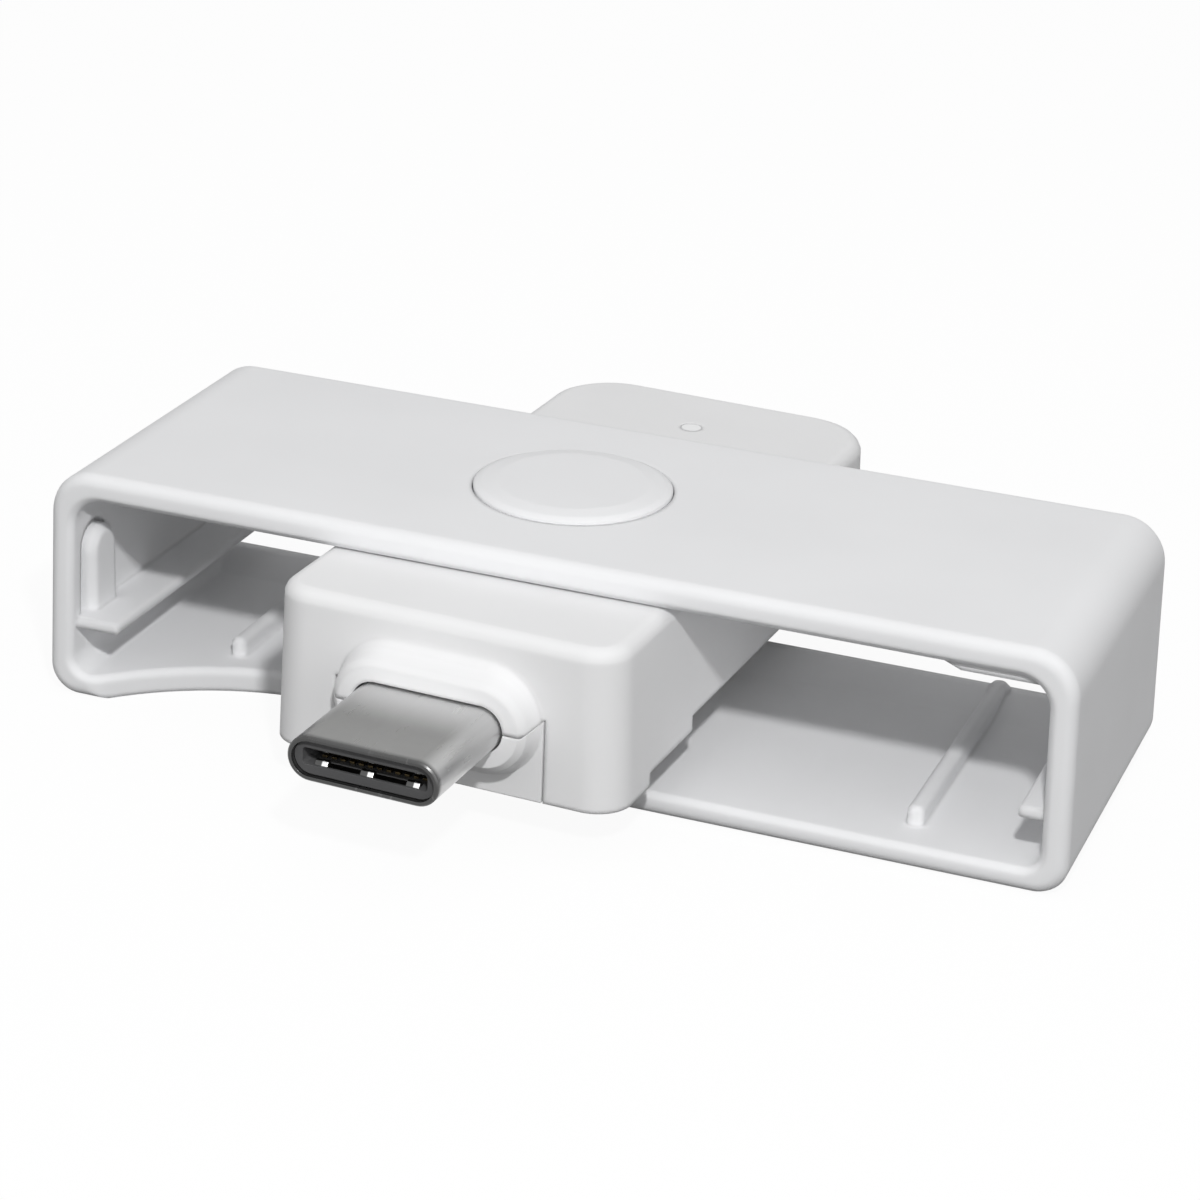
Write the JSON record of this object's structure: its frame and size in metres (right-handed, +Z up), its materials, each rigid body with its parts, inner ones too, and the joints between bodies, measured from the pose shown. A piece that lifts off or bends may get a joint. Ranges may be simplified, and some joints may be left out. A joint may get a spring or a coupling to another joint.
{
  "type": "smart card reader",
  "caption": "Fold-out pocket smart card reader: an open white sleeve that a card slides through, with a reader core and its metal plug on a round swivel.",
  "frame": {"origin": "centre of the sleeve's underside", "axes": "+X along the sleeve, +Y to its back where the card goes in, +Z up"},
  "size_m": [0.0574, 0.048, 0.0136],
  "materials": {
    "white_plastic": "fine satin moulding",
    "slip_plastic": "waxy natural",
    "screw_steel": "zinc plated",
    "board": "solder resist",
    "black_plastic": "moulded",
    "can_metal": "plain",
    "capacitor_ceramic": "ceramic",
    "lamp_plastic": "milky",
    "light_pipe": "frosted clear",
    "gold_contacts": "gold flash",
    "plug_steel": "bright nickel"
  },
  "bodies": {
    "sleeve": {"sleeve": "white_plastic"},
    "core": {"pivot_cap": "white_plastic", "pivot_screw": "screw_steel", "pivot_washer": "screw_steel", "wear_ring": "slip_plastic", "upper_case": "white_plastic", "lower_case": "white_plastic", "case_screws": "screw_steel", "circuit_board": "board", "controller_chip": "black_plastic", "crystal": "can_metal", "chip_capacitors": "capacitor_ceramic", "chip_resistors": "black_plastic", "status_led": "lamp_plastic", "light_pipe": "light_pipe", "card_contact_holder": "black_plastic", "card_contacts": "gold_contacts", "card_switch": "black_plastic", "card_switch_leaf": "gold_contacts", "plug_shell": "plug_steel", "plug_insulator": "black_plastic", "plug_upper_contacts": "gold_contacts", "plug_lower_contacts": "gold_contacts", "plug_latch": "plug_steel", "plug_ground_springs": "plug_steel"}
  },
  "joints": [
    {"name": "core_swivel", "type": "hinge", "parent": "sleeve", "child": "core", "pos_m": [-0.0021, 0, 0.0118], "axis": [0, 0, 1], "range_deg": [-87.4, 2.6]}
  ]
}
